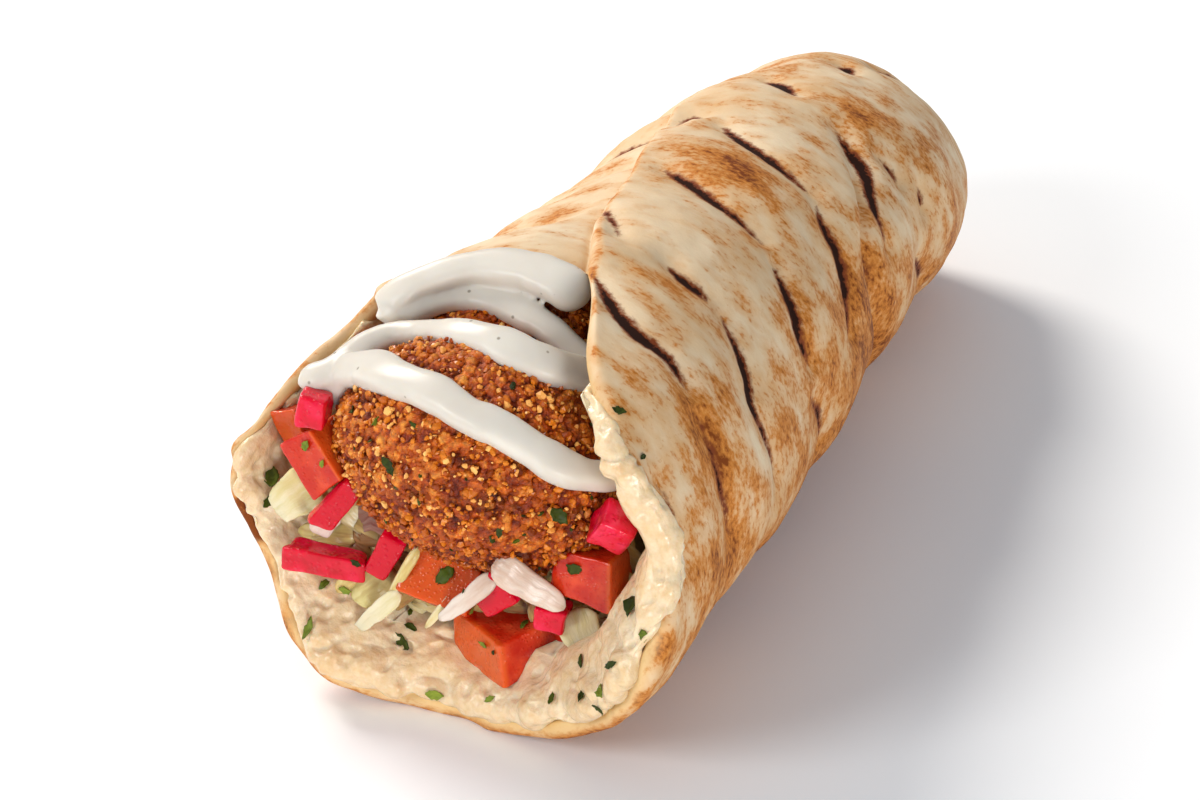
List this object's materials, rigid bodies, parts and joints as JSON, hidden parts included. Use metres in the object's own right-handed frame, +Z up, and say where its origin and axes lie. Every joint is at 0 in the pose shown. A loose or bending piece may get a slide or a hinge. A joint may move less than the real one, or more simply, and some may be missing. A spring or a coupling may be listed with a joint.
{
  "type": "falafel wrap",
  "caption": "Rolled flatbread open at one end, filled with hummus, chopped salad and falafels under a thick white drizzle, tucked shut at the other end.",
  "frame": {"origin": "middle of the object's footprint box, on the surface that the wrap lies on", "axes": "+Z up; +Y along the roll from the open mouth to the tucked tail, the longest extent; +X to the right seen from the mouth"},
  "size_m": [0.0802, 0.1894, 0.0653],
  "materials": {
    "flatbread": "soft griddled bread, pale, with dark scorched strokes",
    "hummus": "moist coarse paste",
    "salad": "moist shredded leaf and onion",
    "falafel_crust": "coarse deep-fried crumb crust",
    "white_sauce": "thick smooth yoghurt sauce",
    "tomato": "wet cut tomato",
    "pickled_turnip": "wet pickled turnip, stained pink-red",
    "onion": "wet raw onion",
    "cabbage": "wet shredded cabbage"
  },
  "bodies": {
    "root": {"flatbread": "flatbread", "hummus": "hummus", "salad_bed": "salad", "falafel_front": "falafel_crust", "falafel_back": "falafel_crust", "sauce": "white_sauce", "tomato_a": "tomato", "tomato_b": "tomato", "tomato_c": "tomato", "tomato_d": "tomato", "tomato_e": "tomato", "tomato_f": "tomato", "turnip_a": "pickled_turnip", "turnip_b": "pickled_turnip", "turnip_c": "pickled_turnip", "turnip_d": "pickled_turnip", "turnip_e": "pickled_turnip", "turnip_f": "pickled_turnip", "turnip_g": "pickled_turnip", "onion_a": "onion", "onion_b": "onion", "onion_c": "onion", "onion_d": "onion", "cabbage_a": "cabbage", "cabbage_b": "cabbage", "cabbage_c": "cabbage", "cabbage_d": "cabbage"}
  },
  "joints": []
}
